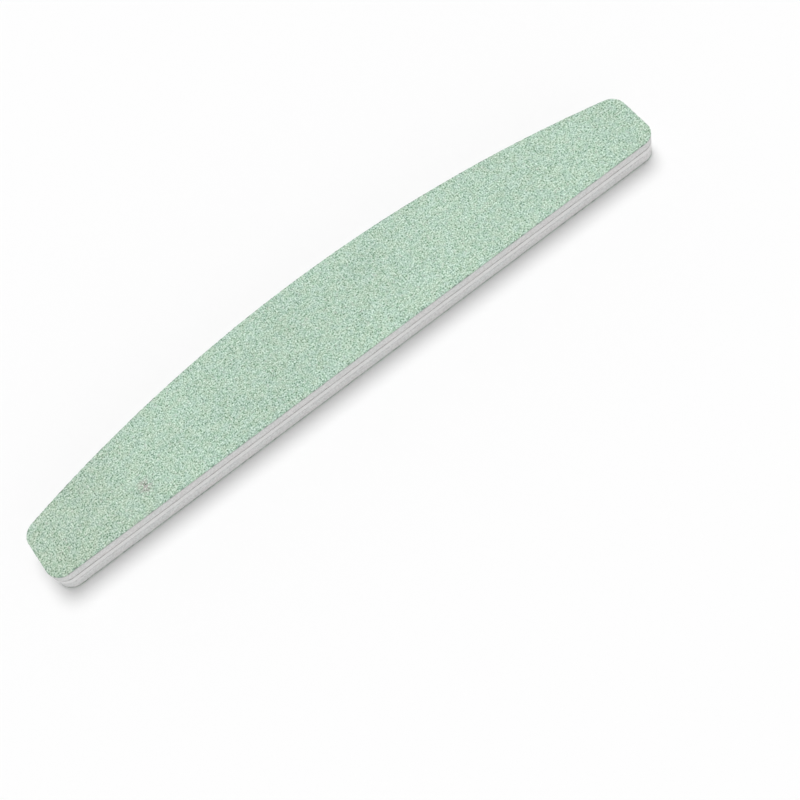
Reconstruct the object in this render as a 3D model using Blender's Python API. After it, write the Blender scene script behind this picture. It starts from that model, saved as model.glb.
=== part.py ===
"""Nail buffer block of the half-moon kind: a sponge file with an abrasive face on each side.

It is a laminate, lying flat. A stiff core board lies in the middle, with a foam pad glued to
each side of it and an abrasive sheet glued to each pad. All the layers are cut to one outline:
a straight edge, two square ends with round corners, and a shallow curved edge.

Metres, +Z up. The origin is the middle of the lower face. +X runs along the straight edge,
+Y across the file towards the curved edge, and +Z through the layers.
"""

import math

import bpy

MM = 0.001

# The outline that every layer is cut to.
LENGTH = 178.0 * MM
WIDTH = 27.5 * MM  # from the straight edge to the crown of the curved edge
END_WIDTH = 15.7 * MM  # from the straight edge to the curved edge at each end, corners square
CORNER_RADIUS = 4.0 * MM

# The thickness of each layer. Both halves of the file are alike.
GRIT_COAT = 0.15 * MM
BACKING_PAPER = 0.18 * MM
ADHESIVE = 0.06 * MM
FOAM_PAD = 2.70 * MM
CORE_BOARD = 1.50 * MM

BOND_GAP = 0.02 * MM  # clearance that keeps bonded layers separate solids
ADHESIVE_SETBACK = 0.15 * MM  # the glue stops short of the cut edge

CORNER_STEPS = 10
CURVE_STEPS = 48

# Material: colour (linear RGB), roughness
MINT_GRIT = ((0.47, 0.61, 0.49), 0.90)
GREY_GREEN_PAPER = ((0.30, 0.38, 0.33), 0.85)
WHITE_FOAM = ((0.80, 0.79, 0.78), 0.80)
WHITE_BOARD = ((0.86, 0.86, 0.85), 0.55)
CLEAR_GLUE = ((0.52, 0.50, 0.48), 0.45)

# The lower half from the floor up: name, thickness, setback from the cut edge, material.
HALF_LAYERS = (
    ("abrasive_grit", GRIT_COAT, 0.0, MINT_GRIT),
    ("backing_paper", BACKING_PAPER, 0.0, GREY_GREEN_PAPER),
    ("face_adhesive", ADHESIVE, ADHESIVE_SETBACK, CLEAR_GLUE),
    ("foam_pad", FOAM_PAD, 0.0, WHITE_FOAM),
    ("core_adhesive", ADHESIVE, ADHESIVE_SETBACK, CLEAR_GLUE),
)


def clear_scene():
    for obj in list(bpy.data.objects):
        bpy.data.objects.remove(obj, do_unlink=True)


def arc(centre, radius, start, end, steps):
    """Points on an arc, both ends included."""
    for step in range(steps + 1):
        angle = start + (end - start) * step / steps
        yield centre[0] + radius * math.cos(angle), centre[1] + radius * math.sin(angle)


def outline(setback):
    """The file's outline, anticlockwise, moved inwards by setback.

    It is five arcs, and the straight edge and the two ends are the straight lines between them.
    """
    rise = WIDTH - END_WIDTH
    crown_radius = ((LENGTH / 2) ** 2 + rise**2) / (2 * rise)
    crown_y = WIDTH - crown_radius
    corner_x = LENGTH / 2 - CORNER_RADIUS
    upper_y = crown_y + math.sqrt((crown_radius - CORNER_RADIUS) ** 2 - corner_x**2)
    meets = math.atan2(upper_y - crown_y, corner_x)  # where a corner runs into the curved edge
    corner = CORNER_RADIUS - setback
    arcs = (
        ((corner_x, CORNER_RADIUS), corner, -math.pi / 2, 0.0, CORNER_STEPS),
        ((corner_x, upper_y), corner, 0.0, meets, CORNER_STEPS),
        ((0.0, crown_y), crown_radius - setback, meets, math.pi - meets, CURVE_STEPS),
        ((-corner_x, upper_y), corner, math.pi - meets, math.pi, CORNER_STEPS),
        ((-corner_x, CORNER_RADIUS), corner, math.pi, 1.5 * math.pi, CORNER_STEPS),
    )
    points = []
    for one in arcs:
        for x, y in arc(*one):
            point = (x, y - WIDTH / 2)
            if not points or math.dist(point, points[-1]) > 0.01 * MM:
                points.append(point)
    return points


def material(name, look):
    colour, roughness = look
    made = bpy.data.materials.new(name)
    made.use_nodes = True
    shader = made.node_tree.nodes["Principled BSDF"]
    shader.inputs["Base Color"].default_value = (*colour, 1.0)
    shader.inputs["Roughness"].default_value = roughness
    shader.inputs["Metallic"].default_value = 0.0
    made.diffuse_color = (*colour, 1.0)
    return made


def add_layer(name, bottom, thickness, setback, look, parent, collection):
    """One flat layer, with its lower face at height bottom."""
    curve = bpy.data.curves.new(name, "CURVE")
    curve.dimensions = "2D"
    curve.fill_mode = "BOTH"
    curve.extrude = thickness / 2
    points = outline(setback)
    spline = curve.splines.new("POLY")
    spline.points.add(len(points) - 1)
    for place, (x, y) in zip(spline.points, points):
        place.co = (x, y, 0.0, 1.0)
    spline.use_cyclic_u = True
    curve.materials.append(material(name, look))
    layer = bpy.data.objects.new(name, curve)
    layer.location.z = bottom + thickness / 2
    layer.parent = parent
    collection.objects.link(layer)


def stack():
    """Every layer from the floor up: name, thickness, setback, material."""
    layers = [("lower_" + name, *rest) for name, *rest in HALF_LAYERS]
    layers.append(("core_board", CORE_BOARD, 0.0, WHITE_BOARD))
    layers += [("upper_" + name, *rest) for name, *rest in reversed(HALF_LAYERS)]
    return layers


def main():
    clear_scene()
    collection = bpy.data.collections.new("nail_buffer_block")
    bpy.context.scene.collection.children.link(collection)
    origin = bpy.data.objects.new("nail_buffer_block", None)
    collection.objects.link(origin)
    bottom = 0.0
    for name, thickness, setback, look in stack():
        add_layer(name, bottom, thickness, setback, look, origin, collection)
        bottom += thickness + BOND_GAP


main()
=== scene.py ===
"""Looks of the nail buffer block: a half-moon sponge file, mint green and abrasive on both faces.

Every layer of the CAD laminate is replaced by a finely modelled one: grit coats with real grain
relief, paper with a rough cut edge, foam pads that roll in where they meet the core, adhesive
films that lie back from the cut, and a core board that stands a little proud. Metres throughout,
in the CAD's own frame.
"""

import math

import bpy
import numpy as np
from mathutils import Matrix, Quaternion, Vector, noise
from mathutils.geometry import delaunay_2d_cdt


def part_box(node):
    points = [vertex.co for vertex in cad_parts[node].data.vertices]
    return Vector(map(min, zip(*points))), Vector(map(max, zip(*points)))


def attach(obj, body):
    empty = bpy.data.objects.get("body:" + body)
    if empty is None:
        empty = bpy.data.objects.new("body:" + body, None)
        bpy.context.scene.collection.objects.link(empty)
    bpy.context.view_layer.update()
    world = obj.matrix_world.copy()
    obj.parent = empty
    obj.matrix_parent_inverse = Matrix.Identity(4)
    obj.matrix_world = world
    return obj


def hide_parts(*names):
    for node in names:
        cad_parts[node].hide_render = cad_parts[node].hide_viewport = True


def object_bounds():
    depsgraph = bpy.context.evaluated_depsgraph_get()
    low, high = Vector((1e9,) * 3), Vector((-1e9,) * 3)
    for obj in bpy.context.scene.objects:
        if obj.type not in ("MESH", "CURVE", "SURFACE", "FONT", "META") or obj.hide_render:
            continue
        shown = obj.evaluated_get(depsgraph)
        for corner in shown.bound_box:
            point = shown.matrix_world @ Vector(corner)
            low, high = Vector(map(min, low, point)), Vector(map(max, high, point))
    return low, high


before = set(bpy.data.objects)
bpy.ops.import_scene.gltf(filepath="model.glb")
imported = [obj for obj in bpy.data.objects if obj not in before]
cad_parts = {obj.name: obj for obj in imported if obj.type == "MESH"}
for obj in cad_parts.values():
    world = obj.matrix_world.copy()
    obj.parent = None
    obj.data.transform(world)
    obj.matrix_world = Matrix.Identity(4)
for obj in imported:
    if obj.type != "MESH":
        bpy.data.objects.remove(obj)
CAD_BOX = [list(corner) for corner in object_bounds()]

MM = 0.001

# The outline that every layer is cut to. Its length and width are the frame's own.
LOW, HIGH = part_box("core_board")
HALF_LENGTH = (HIGH.x - LOW.x) / 2
STRAIGHT_Y = LOW.y
HIGH_FACE = CAD_BOX[1][2]
WIDTH = HIGH.y - LOW.y
END_WIDTH = 15.7 * MM
CORNER_RADIUS = 4.0 * MM
RISE = WIDTH - END_WIDTH
CROWN_RADIUS = (HALF_LENGTH**2 + RISE**2) / (2 * RISE)
CROWN_Y = HIGH.y - CROWN_RADIUS
CORNER_X = HALF_LENGTH - CORNER_RADIUS
LOWER_CORNER_Y = STRAIGHT_Y + CORNER_RADIUS
UPPER_CORNER_Y = CROWN_Y + math.sqrt((CROWN_RADIUS - CORNER_RADIUS) ** 2 - CORNER_X**2)
MEETS = math.atan2(UPPER_CORNER_Y - CROWN_Y, CORNER_X)  # where a corner meets the curved edge
ARC_STEPS = 400  # points along each corner and the curved edge, before they are spaced evenly

# Triangulation
INSIDE_ONLY = 1  # keeps only the triangles inside the closed loop
MERGE_DISTANCE = 1e-7  # in millimetres

# Grain of the grit, shared by its relief and its colour
GRAIN_SIZE = 0.45 * MM
GRAIN_HEIGHT = 0.09 * MM
GRAIN_SHARE = 0.42  # how strongly the large grains show
GRAIN_FADE = (0.20, 0.63)  # where a grain fades out, from its middle, in grain sizes
CRUMB_SIZE = 0.36 * MM
CRUMB_SHARE = 1.80  # how strongly the small ones do

# Shape of a grit coat
FACE_SPACING = 0.235 * MM  # between the vertices of a grit face
ROW_SPACING = FACE_SPACING * math.sqrt(0.75)  # between the rows of its triangular grid
FACE_JITTER = 0.3  # share of the spacing
EDGE_CLEARANCE = 0.6 * FACE_SPACING  # between the inner vertices and those on the cut edge
FINE_CHIP = (0.5 * MM, 0.10 * MM)  # size along the cut edge, and depth
LONG_CHIP = (2.5 * MM, 0.03 * MM)
EDGE_DROP = 0.07 * MM  # how far the face rounds down at its cut edge
EDGE_REACH = 0.12 * MM  # how far in that rounding fades
SWELL = (9 * MM, 0.02 * MM)  # slow rise and fall of the face: size, height
GRAIN_SINK = 0.4  # how far the grains' base lies below the CAD's face, in grain heights
WALL_BULGE = 0.02 * MM  # how far the coat's own cut wall stands out
WALL_BULGE_DEPTH = 0.11 * MM  # and how far below its outer face
WALL_FOOT_SETBACK = 0.01 * MM  # how far that wall lies back where it meets the paper
CUT_FADE = 0.3 * MM  # how far in from the cut edge its chips and painted edge shade show
CUT_WALL_RESIN_AND_SHADE = 1.6  # how strongly they show on the wall itself, where the dark is also painted shade
EDGE_CALM = 0.55  # share of the relief that is lost at the cut edge
EDGE_CALM_REACH = 0.15 * MM  # how far in that loss fades

# Shapes of the cut walls. A profile lists (share of the layer's height, how far it stands out), and
# a relief lists (feature size along the cut, feature size up it, depth).
WALL_SPACING = 0.25 * MM  # between the vertices round a cut edge
PAPER_PROFILE = ((0.0, 0.0), (0.3, 0.03 * MM), (0.7, 0.03 * MM), (1.0, 0.0))
PAPER_RELIEF = ((0.5 * MM, 0.2 * MM, 0.06 * MM), (3 * MM, 3 * MM, 0.03 * MM))
FOAM_PROFILE = (
    (0.0, 0.0), (0.03, 0.01 * MM), (0.10, 0.02 * MM), (0.22, 0.02 * MM), (0.36, 0.0),
    (0.50, -0.01 * MM), (0.62, -0.01 * MM), (0.73, -0.01 * MM), (0.82, -0.02 * MM),
)
FOAM_ROLL_PROFILE = ((0.88, -0.20), (0.92, -0.38), (0.96, -0.64), (1.0, -1.0))  # in rolls
FOAM_ROLL = {"upper": 0.20 * MM, "lower": 0.16 * MM}  # how far a pad rolls in at the core
FOAM_RELIEF = ((0.45 * MM, 0.35 * MM, 0.022 * MM), (5 * MM, 2 * MM, 0.04 * MM))
GLUE_SETBACK = {"face": 0.14 * MM, "core": 0.10 * MM}  # how far a film lies back from the cut
GLUE_BULGE = 0.03 * MM  # how far it comes out again halfway up
GLUE_RELIEF = ((0.9 * MM, 1 * MM, 0.06 * MM),)
CORE_PROFILE = (
    (0.0, -0.12 * MM), (0.04, -0.03 * MM), (0.12, 0.04 * MM), (0.3, 0.05 * MM),
    (0.7, 0.05 * MM), (0.82, 0.03 * MM), (0.92, -0.02 * MM), (1.0, -0.10 * MM),
)
CORE_RELIEF = ((0.5 * MM, 6 * MM, 0.012 * MM),)

# Each half's side (1 faces up, -1 down) and the first of its noise seeds
HALVES = (("upper", 1, 11), ("lower", -1, 31))
LONG_CHIP_SEED = 1  # this one and those down to GLUE_SEED are added to it
SWELL_SEED = 2
PAPER_SEED = 3
FOAM_SEED = 5
GLUE_SEED = 8
CORE_SEED = 51
SEED_STEPS = (3.7, 1.3, 2.9)  # how far each seed moves the noise, in features

# Materials. A band is the pair of values between which a pattern fades in, and a share is how
# much of it shows at most. A stretch is how much finer a pattern is along x, y and z.
WIDE_BAND = (0.3, 0.7)
FADE_IN = (0.0, 1.0)
FADE_OUT = (1.0, 0.0)
FINE_BUMP_DEPTH = 0.03 * MM

# Grit
# The lightest grit colour is the grains' own pale tone plus painted highlights on raised grains;
# the darkest is their dark tone plus painted shade in pits.
GRIT_DARK_AND_PIT_SHADE = (0.062, 0.158, 0.078)
GRIT_LIGHT_AND_HIGHLIGHT = (0.75, 0.905, 0.79)
GRIT_YELLOW = (0.452, 0.592, 0.465)
GRIT_TEAL = (0.426, 0.584, 0.488)
GRIT_ROUGHNESS = (0.85, 0.38)  # of dull and of glossy grains
GRIT_SPECULAR = 0.4
TINT_SIZE = 2.2 * MM
TINT_BAND = (0.38, 0.62)
VIVID_COLOUR = (0.388, 0.574, 0.432)
VIVID_SIZE = 1.3 * MM
VIVID_STRETCH = (1.0, 1.0, 7.0)
VIVID_BAND = (0.45, 0.65)
VIVID_SHARE = 0.7
ROSE_COLOUR = (0.50, 0.54, 0.49)
ROSE_BAND = (0.95, 0.98)
ROSE_SHARE = 0.5
SMUDGE_COLOUR = (0.39, 0.34, 0.345)
SMUDGE_PLACE = (-59.6 * MM, STRAIGHT_Y + 6.4 * MM, HIGH_FACE)
SMUDGE_SIZE = 3.0 * MM
SMUDGE_STREAK = 0.6 * MM
SMUDGE_STRETCH = (0.6, 1.4, 1.0)
SMUDGE_BAND = (0.36, 0.54)
SMUDGE_SHARE = 0.95
RESIN_AND_EDGE_SHADE_COLOUR = (0.10, 0.16, 0.13)  # bare resin, and painted shade along the cut edge and down its wall
CHIP_SIZE = 0.9 * MM
CHIP_BAND = (0.50, 0.66)
CHIP_SHARE = 0.8
SHADE_SIZE = 22 * MM
SHADE_RANGE = (0.97, 1.03)
# Painted shade: the face is darkened towards its left end, where the light falls off.
LEFT_END_SHADE_TINT = (0.955, 0.925, 0.915)
LEFT_SHADE_END = -84 * MM
LEFT_SHADE_FADE = 44 * MM
GLOSSY_BAND = (0.8, 1.0)
FACET_SIZE = 0.16 * MM
FACET_BUMP = 0.3
FACET_DEPTH = 0.05 * MM

# Paper
PAPER_DARK = (0.40, 0.43, 0.41)
PAPER_LIGHT = (0.56, 0.58, 0.56)
PAPER_ROUGHNESS = (0.75, 0.95)
FIBRE_SIZE = 0.12 * MM
FIBRE_STRETCH = (0.4, 0.4, 3.0)
FIBRE_BAND = (0.35, 0.65)
FIBRE_BUMP = 0.6
FIBRE_DEPTH = 0.04 * MM
STAIN_COLOUR = (0.22, 0.25, 0.235)
STAIN_SIZE = 1.5 * MM
STAIN_BAND = (0.55, 0.70)
STAIN_SHARE = 0.7

# Foam
FOAM_WARM = (0.720, 0.711, 0.707)
FOAM_COOL = (0.705, 0.719, 0.711)
FOAM_ROUGHNESS = (0.78, 0.9)
FOAM_SPECULAR = 0.25
PATCH_SIZE = 2.6 * MM
PATCH_STRETCH = (0.5, 0.5, 1.5)
PATCH_BAND = (0.35, 0.65)
MOTTLE_COLOUR = (0.46, 0.45, 0.45)
MOTTLE_SIZE = 0.42 * MM
MOTTLE_BAND = (0.36, 0.64)
MOTTLE_SHARE = 0.42
PORE_COLOUR = (0.50, 0.48, 0.48)
PORE_SIZE = 0.16 * MM
PORE_BAND = (0.0, 0.28)
PORE_SHARE = 0.30
PORE_BUMP = 0.5
DRAG_SIZE = 0.5 * MM
DRAG_STRETCH = (1.0, 1.0, 0.15)
DRAG_BUMP = 0.35
DRAG_DEPTH = 0.06 * MM

# Core board
BOARD_DULL = (0.70, 0.70, 0.695)
BOARD_BRIGHT = (0.76, 0.76, 0.755)
BOARD_ROUGHNESS = (0.4, 0.6)
STROKE_SIZE = 0.2 * MM
STROKE_STRETCH = (1.0, 1.0, 0.08)
STROKE_BUMP = 0.4

# Adhesive
# Both greys are darker than the film itself, as painted shade for the groove it lies back in; the
# darker one also carries dust.
GLUE_CLEAN_AND_SHADE = (0.58, 0.57, 0.56)
GLUE_DUST_AND_SHADE = (0.42, 0.41, 0.40)
GLUE_ROUGHNESS = (0.3, 0.65)
DUST_SIZE = 0.35 * MM
DUST_BAND = (0.35, 0.7)
DUST_BUMP = 0.5

# Sockets of a Mix node that is set to colours
MIX_SHARE = 0
MIX_FIRST = 6
MIX_SECOND = 7
MIX_RESULT = 2

# Studio
CAMERA_PLACE = Vector((-38.4, -172.2, 306.0)) * MM
CAMERA_AIM = Vector((-0.9, -29.1, 8.0)) * MM
CAMERA_ROLL = math.radians(-23.8)
CAMERA_LENS = 64.95  # millimetres, on a 36 mm sensor
CAMERA_SENSOR = 36.0
CAMERA_NEAR = 0.01
SKY_ZENITH = 0.50
SKY_GLOW = 0.58  # how much brighter the horizon is
SKY_GLOW_FALL = 4.0  # how fast that fades upwards
SKY_FRONT = 0.42  # how much brighter the sky is in front of the straight edge
SKY_FRONT_FALL = 2.0
KEY_FROM = (0.15, 0.38, 1.0)  # where the sun lamp stands; it shines at the origin
KEY_STRENGTH = 1.61
KEY_ANGLE = math.radians(36)
FLOOR_SIZE = 40  # metres, so that its edge lies at the horizon
FLOOR_COLOUR = (0.93, 0.93, 0.93)
FLOOR_ROUGHNESS = 0.9
FLOOR_SPECULAR = 0.1


# ---------------------------------------------------------------- outline

def cut_line(spacing):
    """Points evenly spaced round the outline, anticlockwise, and their outward normals."""
    arcs = (
        ((CORNER_X, LOWER_CORNER_Y), CORNER_RADIUS, -math.pi / 2, 0.0),
        ((CORNER_X, UPPER_CORNER_Y), CORNER_RADIUS, 0.0, MEETS),
        ((0.0, CROWN_Y), CROWN_RADIUS, MEETS, math.pi - MEETS),
        ((-CORNER_X, UPPER_CORNER_Y), CORNER_RADIUS, math.pi - MEETS, math.pi),
        ((-CORNER_X, LOWER_CORNER_Y), CORNER_RADIUS, math.pi, 1.5 * math.pi),
    )
    stretches = []
    for (x, y), radius, start, end in arcs:
        angle = np.linspace(start, end, ARC_STEPS)
        stretches.append(np.stack([x + radius * np.cos(angle), y + radius * np.sin(angle)], 1))
    line = np.concatenate([*stretches, stretches[0][:1]])
    run = np.concatenate([[0.0], np.cumsum(np.linalg.norm(np.diff(line, axis=0), axis=1))])
    count = round(run[-1] / spacing)
    places = np.arange(count) / count * run[-1]
    points = np.stack([np.interp(places, run, line[:, axis]) for axis in (0, 1)], 1)
    along = np.roll(points, -1, axis=0) - np.roll(points, 1, axis=0)
    along /= np.linalg.norm(along, axis=1)[:, None]
    return points, np.stack([along[:, 1], -along[:, 0]], 1)


def depth_inside(x, y):
    """How far each point lies inside the outline."""
    side = np.abs(x)
    depth = np.minimum(y - STRAIGHT_Y, HALF_LENGTH - side)
    depth = np.minimum(depth, CROWN_RADIUS - np.hypot(x, y - CROWN_Y))
    lower = (side > CORNER_X) & (y < LOWER_CORNER_Y)
    reach = CORNER_RADIUS - np.hypot(side - CORNER_X, y - LOWER_CORNER_Y)
    depth = np.where(lower, reach, depth)
    turn = np.arctan2(y - UPPER_CORNER_Y, side - CORNER_X)
    upper = (turn > 0) & (turn < MEETS)
    reach = CORNER_RADIUS - np.hypot(side - CORNER_X, y - UPPER_CORNER_Y)
    return np.where(upper, reach, depth)


# ---------------------------------------------------------------- meshes

def wobble(points, size, seed):
    """Smooth noise from -1 to 1 at each 2D or 3D point, with features about size across."""
    shift = Vector([seed * step for step in SEED_STEPS])
    return np.array([noise.noise(Vector((*point, 0.0)[:3]) / size + shift) for point in points])


def around(count):
    """The edges of a closed loop made of the first count points."""
    return [(i, (i + 1) % count) for i in range(count)]


def filled(points, rim):
    """Triangles between points, inside the closed loop of the first rim of them."""
    flat = [Vector(point[:2]) / MM for point in points]
    return delaunay_2d_cdt(flat, around(rim), [], INSIDE_ONLY, MERGE_DISTANCE)[2]


def mesh_object(name, points, faces, shade_smooth=True):
    mesh = bpy.data.meshes.new(name)
    mesh.from_pydata([tuple(point) for point in points], [], faces)
    mesh.update()
    if shade_smooth:
        mesh.shade_smooth()
    obj = bpy.data.objects.new(name, mesh)
    bpy.context.scene.collection.objects.link(obj)
    return obj


def ring_faces(count, rings):
    """Quads between rings of count points each, stacked upwards."""
    faces = []
    for level in range(rings - 1):
        below = level * count
        above = below + count
        faces += [(below + i, below + j, above + j, above + i) for i, j in around(count)]
    return faces


def layer(name, node, profile, relief, seed):
    """A layer whose cut wall follows a profile and carries a relief."""
    low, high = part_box(node)
    points, outward = cut_line(WALL_SPACING)
    count = len(points)
    rings = []
    for share, stand_out in profile:
        height = low.z + share * (high.z - low.z)
        offset = np.full(count, float(stand_out))
        for number, (size, tall, depth) in enumerate(relief):
            places = np.column_stack([points / size, np.full(count, height / tall)])
            offset += depth * wobble(places, 1.0, seed + number)
        flat = points + outward * offset[:, None]
        rings.append(np.column_stack([flat, np.full(count, height)]))
    faces = ring_faces(count, len(rings))
    faces += [tuple(reversed(face)) for face in filled(rings[0], count)]
    top = (len(rings) - 1) * count
    faces += [tuple(top + i for i in face) for face in filled(rings[-1], count)]
    return mesh_object(name, np.concatenate(rings), faces)


def face_points(seed):
    """A jittered triangular grid of points over the face, clear of the cut edge."""
    rows = np.arange(LOW.y, HIGH.y, ROW_SPACING)
    columns = np.arange(LOW.x, HIGH.x, FACE_SPACING)
    x, y = np.meshgrid(columns, rows)
    x[1::2] += FACE_SPACING / 2
    draws = np.random.default_rng(seed).uniform(-FACE_JITTER, FACE_JITTER, (2, *x.shape))
    jitter = draws * FACE_SPACING
    x = (x + jitter[0]).ravel()
    y = (y + jitter[1]).ravel()
    inside = depth_inside(x, y) > EDGE_CLEARANCE
    return np.column_stack([x[inside], y[inside]])


def chipped(edge, chip, seed):
    """How far a chip pattern, a pair of size and depth, moves each point of the cut edge."""
    size, depth = chip
    return depth * wobble(edge, size, seed)


def grit_coat(name, node, side, seed):
    """A coat of bonded grains. side is 1 where the grains face up and -1 where they face down."""
    low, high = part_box(node)
    outer, inner = (high.z, low.z) if side > 0 else (low.z, high.z)
    edge, outward = cut_line(FACE_SPACING)
    ragged = chipped(edge, FINE_CHIP, seed)
    ragged += chipped(edge, LONG_CHIP, seed + LONG_CHIP_SEED)
    edge = edge + outward * ragged[:, None]
    count = len(edge)
    face = np.concatenate([edge, face_points(seed)])
    depth = np.clip(depth_inside(face[:, 0], face[:, 1]), 0, None)
    rounding = EDGE_DROP * np.exp(-depth / EDGE_REACH)
    swell_size, swell_height = SWELL
    swell = swell_height * wobble(face, swell_size, seed + SWELL_SEED)
    heights = outer - side * (GRAIN_SINK * GRAIN_HEIGHT + rounding - swell)
    bulge = edge + outward * WALL_BULGE
    foot = edge - outward * WALL_FOOT_SETBACK
    points = np.concatenate([
        np.column_stack([face, heights]),
        np.column_stack([bulge, np.full(count, outer - side * WALL_BULGE_DEPTH)]),
        np.column_stack([foot, np.full(count, inner)]),
    ])
    faces = [tuple(triangle) for triangle in filled(face, count)]
    first = len(face)
    last = first + count
    for i, after in around(count):
        faces.append((first + i, first + after, after, i))
        faces.append((last + i, last + after, first + after, first + i))
    faces += [tuple(last + i for i in reversed(triangle)) for triangle in filled(foot, count)]
    if side < 0:
        faces = [tuple(reversed(face)) for face in faces]
    obj = mesh_object(name, points, faces, shade_smooth=False)
    cut = np.exp(-depth / CUT_FADE)
    calm = EDGE_CALM * np.exp(-depth / EDGE_CALM_REACH)
    add_attribute(obj, "cut_edge", cut, np.full(2 * count, CUT_WALL_RESIN_AND_SHADE))
    add_attribute(obj, "relief", side * (1 - calm), np.zeros(2 * count))
    raise_grains(obj)
    return obj


def add_attribute(obj, name, on_face, on_wall):
    attribute = obj.data.attributes.new(name, "FLOAT", "POINT")
    attribute.data.foreach_set("value", np.concatenate([on_face, on_wall]))


def raise_grains(obj):
    """Lifts the face into grains with the same cells that the grit's colour uses."""
    tree = bpy.data.node_groups.new("raise_grains", "GeometryNodeTree")
    tree.interface.new_socket("Geometry", in_out="INPUT", socket_type="NodeSocketGeometry")
    tree.interface.new_socket("Geometry", in_out="OUTPUT", socket_type="NodeSocketGeometry")
    source = tree.nodes.new("NodeGroupInput")
    result = tree.nodes.new("NodeGroupOutput")
    cells = grain_cells(tree, tree.nodes.new("GeometryNodeInputPosition").outputs[0])
    weight = tree.nodes.new("GeometryNodeInputNamedAttribute")
    weight.data_type = "FLOAT"
    weight.inputs["Name"].default_value = "relief"
    share = math_node(tree, "MULTIPLY_ADD", cells["standing"], 0.5, 0.5)  # from -1..1 to 0..1
    height = math_node(tree, "MULTIPLY", share, GRAIN_HEIGHT)
    lift = tree.nodes.new("ShaderNodeCombineXYZ")
    weighted = math_node(tree, "MULTIPLY", height, weight.outputs["Attribute"])
    tree.links.new(weighted, lift.inputs["Z"])
    move = tree.nodes.new("GeometryNodeSetPosition")
    tree.links.new(source.outputs[0], move.inputs["Geometry"])
    tree.links.new(lift.outputs[0], move.inputs["Offset"])
    tree.links.new(move.outputs[0], result.inputs[0])
    obj.modifiers.new("raise_grains", "NODES").node_group = tree


# ---------------------------------------------------------------- node helpers

def math_node(tree, operation, *values):
    """The output of a Math node. Each value is a number or an output to link."""
    node = tree.nodes.new("ShaderNodeMath")
    node.operation = operation
    for socket, value in zip(node.inputs, values):
        if isinstance(value, (int, float)):
            socket.default_value = value
        else:
            tree.links.new(value, socket)
    return node.outputs[0]


def mapped(tree, value, band, ends=FADE_IN):
    """A smooth step from the first of the ends to the second, as value crosses the band."""
    node = tree.nodes.new("ShaderNodeMapRange")
    node.interpolation_type = "SMOOTHSTEP"
    tree.links.new(value, node.inputs["Value"])
    node.inputs["From Min"].default_value = band[0]
    node.inputs["From Max"].default_value = band[1]
    node.inputs["To Min"].default_value = ends[0]
    node.inputs["To Max"].default_value = ends[1]
    return node.outputs["Result"]


def grain_cells(tree, position):
    """The grains, seen from above.

    standing is about 1 where a pale grain stands up, -1 down in a dark pit, and 0 between them; the
    grit's colour turns it into the grains' own tones plus painted highlights on raised grains and
    painted shade in pits.
    hue and gloss are random numbers from 0 to 1, one for each large grain.
    """
    crumbs = tree.nodes.new("ShaderNodeTexNoise")
    crumbs.noise_dimensions = "2D"
    crumbs.inputs["Scale"].default_value = 1 / CRUMB_SIZE
    crumbs.inputs["Detail"].default_value = 0.0
    tree.links.new(position, crumbs.inputs["Vector"])
    small = math_node(tree, "MULTIPLY_ADD", crumbs.outputs[0], CRUMB_SHARE, -0.5 * CRUMB_SHARE)
    voronoi = tree.nodes.new("ShaderNodeTexVoronoi")
    voronoi.voronoi_dimensions = "2D"
    voronoi.feature = "F1"
    voronoi.inputs["Scale"].default_value = 1 / GRAIN_SIZE
    voronoi.inputs["Randomness"].default_value = 1.0
    tree.links.new(position, voronoi.inputs["Vector"])
    split = tree.nodes.new("ShaderNodeSeparateXYZ")
    tree.links.new(voronoi.outputs["Color"], split.inputs[0])
    kind = mapped(tree, split.outputs["X"], (0.0, 1.0), (-GRAIN_SHARE, GRAIN_SHARE))
    middle = mapped(tree, voronoi.outputs["Distance"], GRAIN_FADE, FADE_OUT)
    standing = math_node(tree, "MULTIPLY_ADD", kind, middle, small)
    return {"standing": standing, "hue": split.outputs["Y"], "gloss": split.outputs["Z"]}


def object_position(tree, stretch=(1.0, 1.0, 1.0)):
    place = tree.nodes.new("ShaderNodeTexCoord")
    mapping = tree.nodes.new("ShaderNodeMapping")
    mapping.inputs["Scale"].default_value = stretch
    tree.links.new(place.outputs["Object"], mapping.inputs["Vector"])
    return mapping.outputs["Vector"]


def noise_at(tree, position, size, detail=2.0):
    """Noise from 0 to 1 with features about size across."""
    node = tree.nodes.new("ShaderNodeTexNoise")
    node.inputs["Scale"].default_value = 1 / size
    node.inputs["Detail"].default_value = detail
    node.inputs["Roughness"].default_value = 0.5
    tree.links.new(position, node.inputs["Vector"])
    return node.outputs["Fac"]


def mixed(tree, share, first, second, blend="MIX"):
    """The colour between two colours, each given as numbers or as an output."""
    node = tree.nodes.new("ShaderNodeMix")
    node.data_type = "RGBA"
    node.blend_type = blend
    for index, value in ((MIX_SHARE, share), (MIX_FIRST, first), (MIX_SECOND, second)):
        socket = node.inputs[index]
        if isinstance(value, (int, float)):
            socket.default_value = value
        elif isinstance(value, tuple):
            socket.default_value = (*value, 1.0)
        else:
            tree.links.new(value, socket)
    return node.outputs[MIX_RESULT]


def faded(tree, colour, second, value, band, share=1.0):
    """A colour that turns into a second one, by up to a share, as value crosses the band."""
    return mixed(tree, mapped(tree, value, band, (0.0, share)), colour, second)


def bumped(tree, height, strength, distance, below=None):
    node = tree.nodes.new("ShaderNodeBump")
    node.inputs["Strength"].default_value = strength
    node.inputs["Distance"].default_value = distance
    tree.links.new(height, node.inputs["Height"])
    if below is not None:
        tree.links.new(below, node.inputs["Normal"])
    return node.outputs["Normal"]


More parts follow.
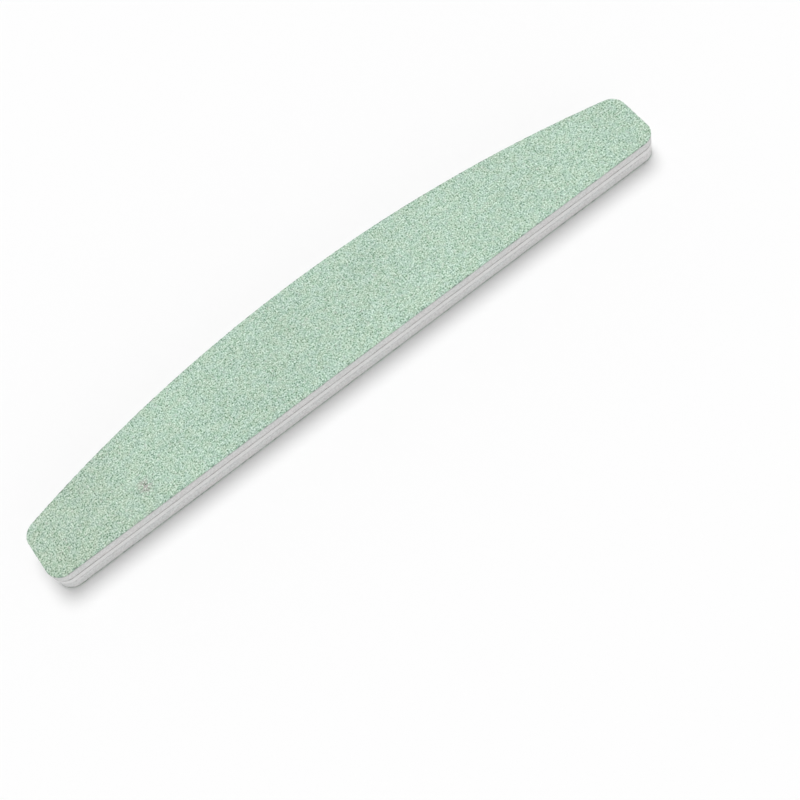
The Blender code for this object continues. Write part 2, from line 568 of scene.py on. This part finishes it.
class Surface:
    """A new material, its nodes, and the inputs of its shader."""

    def __init__(self, name):
        self.material = bpy.data.materials.new(name)
        self.material.use_nodes = True
        self.tree = self.material.node_tree
        self.inputs = self.tree.nodes["Principled BSDF"].inputs

    def link(self, colour, roughness, normal):
        self.tree.links.new(colour, self.inputs["Base Color"])
        self.tree.links.new(roughness, self.inputs["Roughness"])
        self.tree.links.new(normal, self.inputs["Normal"])


# ---------------------------------------------------------------- materials

def smudge_share(tree, position):
    """How much of the smudge lies at each place: streaks that fade out from its middle."""
    away = tree.nodes.new("ShaderNodeVectorMath")
    away.operation = "DISTANCE"
    tree.links.new(position, away.inputs[0])
    away.inputs[1].default_value = SMUDGE_PLACE
    near = mapped(tree, away.outputs["Value"], (0.0, SMUDGE_SIZE), FADE_OUT)
    streaks = noise_at(tree, object_position(tree, SMUDGE_STRETCH), SMUDGE_STREAK)
    streaks = mapped(tree, streaks, SMUDGE_BAND, (0.0, SMUDGE_SHARE))
    return math_node(tree, "MULTIPLY", near, streaks)


def resin_and_edge_shade_share(tree, position):
    """How much dark resin colour shows: bare resin chips along the cut edge, and more down its
    wall, partly painted shade there.
    """
    cut = tree.nodes.new("ShaderNodeAttribute")
    cut.attribute_name = "cut_edge"
    chips = mapped(tree, noise_at(tree, position, CHIP_SIZE), CHIP_BAND, (0.0, CHIP_SHARE))
    return math_node(tree, "MULTIPLY", cut.outputs["Fac"], chips)


def shaded(tree, position, colour):
    """A colour made a little lighter and darker in broad patches."""
    shade = mapped(tree, noise_at(tree, position, SHADE_SIZE), WIDE_BAND, SHADE_RANGE)
    grey = tree.nodes.new("ShaderNodeCombineColor")
    for socket in grey.inputs:
        tree.links.new(shade, socket)
    return mixed(tree, 1.0, colour, grey.outputs[0], "MULTIPLY")


def left_end_shade(tree, position, colour):
    """A colour that is slightly darker towards the left end: painted shade, where the light falls
    off towards that end.
    """
    along = tree.nodes.new("ShaderNodeSeparateXYZ")
    tree.links.new(position, along.inputs[0])
    share = mapped(tree, along.outputs["X"], (LEFT_SHADE_END, LEFT_SHADE_END + LEFT_SHADE_FADE), FADE_OUT)
    return mixed(tree, share, colour, LEFT_END_SHADE_TINT, "MULTIPLY")


def grit_material():
    """Mint green mineral grains in a darker resin, each with its own tone, painted highlights on
    raised grains and painted shade in pits, and a faint smudge.
    """
    surface = Surface("mint_grit")
    tree = surface.tree
    position = object_position(tree)
    cells = grain_cells(tree, position)
    tint = noise_at(tree, position, TINT_SIZE)
    vivid = noise_at(tree, object_position(tree, VIVID_STRETCH), VIVID_SIZE)
    colour = faded(tree, GRIT_TEAL, GRIT_YELLOW, tint, TINT_BAND)
    colour = faded(tree, colour, VIVID_COLOUR, vivid, VIVID_BAND, VIVID_SHARE)
    colour = faded(tree, colour, ROSE_COLOUR, cells["hue"], ROSE_BAND, ROSE_SHARE)
    colour = mixed(tree, smudge_share(tree, position), colour, SMUDGE_COLOUR)
    # Raised grains get a pale tone with painted highlights, and pits a dark tone with painted
    # shade.
    standing = math_node(tree, "MAXIMUM", cells["standing"], 0.0)
    colour = mixed(tree, standing, colour, GRIT_LIGHT_AND_HIGHLIGHT)
    pit_tone_and_shade = math_node(tree, "MULTIPLY", cells["standing"], -1.0)
    pit_tone_and_shade = math_node(tree, "MAXIMUM", pit_tone_and_shade, 0.0)
    colour = mixed(tree, pit_tone_and_shade, colour, GRIT_DARK_AND_PIT_SHADE)
    # Bare resin chips at the cut edge, with the same dark also painted as shade along the edge and
    # down the cut wall.
    colour = mixed(tree, resin_and_edge_shade_share(tree, position), colour, RESIN_AND_EDGE_SHADE_COLOUR)
    # Broad random patches, then painted shade towards the left end.
    colour = left_end_shade(tree, position, shaded(tree, position, colour))
    roughness = mapped(tree, cells["gloss"], GLOSSY_BAND, GRIT_ROUGHNESS)
    facets = noise_at(tree, position, FACET_SIZE, detail=1.0)
    surface.link(colour, roughness, bumped(tree, facets, FACET_BUMP, FACET_DEPTH))
    surface.inputs["Specular IOR Level"].default_value = GRIT_SPECULAR
    return surface.material


def paper_material():
    """Grey-green backing paper, seen only at its fibrous and partly stained cut edge."""
    surface = Surface("backing_paper")
    tree = surface.tree
    fibres = noise_at(tree, object_position(tree, FIBRE_STRETCH), FIBRE_SIZE, detail=3.0)
    stain = noise_at(tree, object_position(tree), STAIN_SIZE)
    colour = faded(tree, PAPER_DARK, PAPER_LIGHT, fibres, FIBRE_BAND)
    colour = faded(tree, colour, STAIN_COLOUR, stain, STAIN_BAND, STAIN_SHARE)
    roughness = mapped(tree, fibres, WIDE_BAND, PAPER_ROUGHNESS)
    surface.link(colour, roughness, bumped(tree, fibres, FIBRE_BUMP, FIBRE_DEPTH))
    return surface.material


def foam_material():
    """White closed-cell foam: cut cells, fine mottling, and faint warm and cool patches."""
    surface = Surface("white_foam")
    tree = surface.tree
    position = object_position(tree)
    cells = tree.nodes.new("ShaderNodeTexVoronoi")
    cells.inputs["Scale"].default_value = 1 / PORE_SIZE
    tree.links.new(position, cells.inputs["Vector"])
    distance = cells.outputs["Distance"]
    patch = noise_at(tree, object_position(tree, PATCH_STRETCH), PATCH_SIZE)
    mottle = noise_at(tree, position, MOTTLE_SIZE, detail=1.0)
    colour = faded(tree, FOAM_WARM, FOAM_COOL, patch, PATCH_BAND)
    colour = faded(tree, colour, MOTTLE_COLOUR, mottle, MOTTLE_BAND, MOTTLE_SHARE)
    pore = mapped(tree, distance, PORE_BAND, (PORE_SHARE, 0.0))
    colour = mixed(tree, pore, colour, PORE_COLOUR)
    roughness = mapped(tree, patch, WIDE_BAND, FOAM_ROUGHNESS)
    cell_walls = bumped(tree, distance, PORE_BUMP, FINE_BUMP_DEPTH)
    drag = noise_at(tree, object_position(tree, DRAG_STRETCH), DRAG_SIZE)
    surface.link(colour, roughness, bumped(tree, drag, DRAG_BUMP, DRAG_DEPTH, cell_walls))
    surface.inputs["Specular IOR Level"].default_value = FOAM_SPECULAR
    return surface.material


def core_material():
    """White plastic board. The cutting die leaves fine strokes down its edge."""
    surface = Surface("white_board")
    tree = surface.tree
    strokes = noise_at(tree, object_position(tree, STROKE_STRETCH), STROKE_SIZE, detail=3.0)
    colour = faded(tree, BOARD_DULL, BOARD_BRIGHT, strokes, WIDE_BAND)
    roughness = mapped(tree, strokes, WIDE_BAND, BOARD_ROUGHNESS)
    surface.link(colour, roughness, bumped(tree, strokes, STROKE_BUMP, FINE_BUMP_DEPTH))
    return surface.material


def glue_material():
    """Adhesive film: slightly glossy, greyed by dust on its cut edge, and darker than the film
    itself as painted shade for the groove it lies back in.
    """
    surface = Surface("adhesive_film")
    tree = surface.tree
    dust = noise_at(tree, object_position(tree), DUST_SIZE, detail=3.0)
    colour = faded(tree, GLUE_CLEAN_AND_SHADE, GLUE_DUST_AND_SHADE, dust, DUST_BAND)
    roughness = mapped(tree, dust, WIDE_BAND, GLUE_ROUGHNESS)
    surface.link(colour, roughness, bumped(tree, dust, DUST_BUMP, FINE_BUMP_DEPTH))
    return surface.material


# ---------------------------------------------------------------- the layers

def finish_piece(obj, node, material):
    obj.data.materials.append(material)
    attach(obj, "root")
    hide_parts(node)


def foam_profile(half):
    """The cut wall of a pad, from its low side up. It rolls in where it meets the core."""
    roll = [(share, depth * FOAM_ROLL[half]) for share, depth in FOAM_ROLL_PROFILE]
    rows = [*FOAM_PROFILE, *roll]
    if half == "upper":
        rows = [(1.0 - share, stand_out) for share, stand_out in reversed(rows)]
    return rows


def glue_profile(setback):
    return ((0.0, -setback), (0.5, -setback + GLUE_BULGE), (1.0, -setback))


def build_layers():
    grit = grit_material()
    paper = paper_material()
    foam = foam_material()
    core = core_material()
    glue = glue_material()
    for half, side, seed in HALVES:
        node = half + "_abrasive_grit"
        piece = grit_coat(node + "_grains", node, side, seed)
        finish_piece(piece, node, grit)
        node = half + "_backing_paper"
        piece = layer(node + "_sheet", node, PAPER_PROFILE, PAPER_RELIEF, seed + PAPER_SEED)
        finish_piece(piece, node, paper)
        node = half + "_foam_pad"
        profile = foam_profile(half)
        piece = layer(node + "_body", node, profile, FOAM_RELIEF, seed + FOAM_SEED)
        finish_piece(piece, node, foam)
        for kind, setback in GLUE_SETBACK.items():
            node = half + "_" + kind + "_adhesive"
            profile = glue_profile(setback)
            piece = layer(node + "_film", node, profile, GLUE_RELIEF, seed + GLUE_SEED)
            finish_piece(piece, node, glue)
    piece = layer("core_board_cut", "core_board", CORE_PROFILE, CORE_RELIEF, CORE_SEED)
    finish_piece(piece, "core_board", core)


# ---------------------------------------------------------------- studio

def build_camera():
    data = bpy.data.cameras.new("camera")
    data.lens = CAMERA_LENS
    data.sensor_width = CAMERA_SENSOR
    data.clip_start = CAMERA_NEAR
    camera = bpy.data.objects.new("camera", data)
    camera.location = CAMERA_PLACE
    look = (CAMERA_AIM - CAMERA_PLACE).to_track_quat("-Z", "Y")
    camera.rotation_mode = "QUATERNION"
    camera.rotation_quaternion = look @ Quaternion((0, 0, 1), CAMERA_ROLL)
    bpy.context.scene.collection.objects.link(camera)
    bpy.context.scene.camera = camera


def build_sky():
    """A soft white dome, brighter near the horizon and in front of the straight edge."""
    world = bpy.data.worlds.new("studio")
    world.use_nodes = True
    tree = world.node_tree
    place = tree.nodes.new("ShaderNodeTexCoord")
    split = tree.nodes.new("ShaderNodeSeparateXYZ")
    tree.links.new(place.outputs["Generated"], split.inputs[0])
    height = math_node(tree, "ABSOLUTE", split.outputs["Z"])
    low = math_node(tree, "SUBTRACT", 1.0, height)
    glow = math_node(tree, "POWER", low, SKY_GLOW_FALL)
    strength = math_node(tree, "MULTIPLY_ADD", glow, SKY_GLOW, SKY_ZENITH)
    ahead = math_node(tree, "MULTIPLY", split.outputs["Y"], -1.0)
    front = math_node(tree, "POWER", math_node(tree, "MAXIMUM", ahead, 0.0), SKY_FRONT_FALL)
    strength = math_node(tree, "MULTIPLY_ADD", front, SKY_FRONT, strength)
    background = tree.nodes["Background"]
    tree.links.new(strength, background.inputs["Strength"])
    background.inputs["Color"].default_value = (1.0, 1.0, 1.0, 1.0)
    bpy.context.scene.world = world


def build_key_light():
    data = bpy.data.lights.new("key", "SUN")
    data.energy = KEY_STRENGTH
    data.angle = KEY_ANGLE
    light = bpy.data.objects.new("key", data)
    light.location = KEY_FROM
    light.rotation_mode = "QUATERNION"
    light.rotation_quaternion = (-Vector(KEY_FROM)).to_track_quat("-Z", "Y")
    bpy.context.scene.collection.objects.link(light)


def build_floor():
    """A plain pale floor that the lowest grain of the file just touches."""
    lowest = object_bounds()[0][2]
    bpy.ops.mesh.primitive_plane_add(size=FLOOR_SIZE, location=(0.0, 0.0, lowest))
    floor = bpy.context.object
    floor.name = "studio_floor"
    surface = Surface("studio_floor")
    surface.inputs["Base Color"].default_value = (*FLOOR_COLOUR, 1.0)
    surface.inputs["Roughness"].default_value = FLOOR_ROUGHNESS
    surface.inputs["Specular IOR Level"].default_value = FLOOR_SPECULAR
    floor.data.materials.append(surface.material)


build_camera()
build_layers()
build_floor()
build_sky()
build_key_light()
bpy.context.scene.view_settings.view_transform = "Standard"
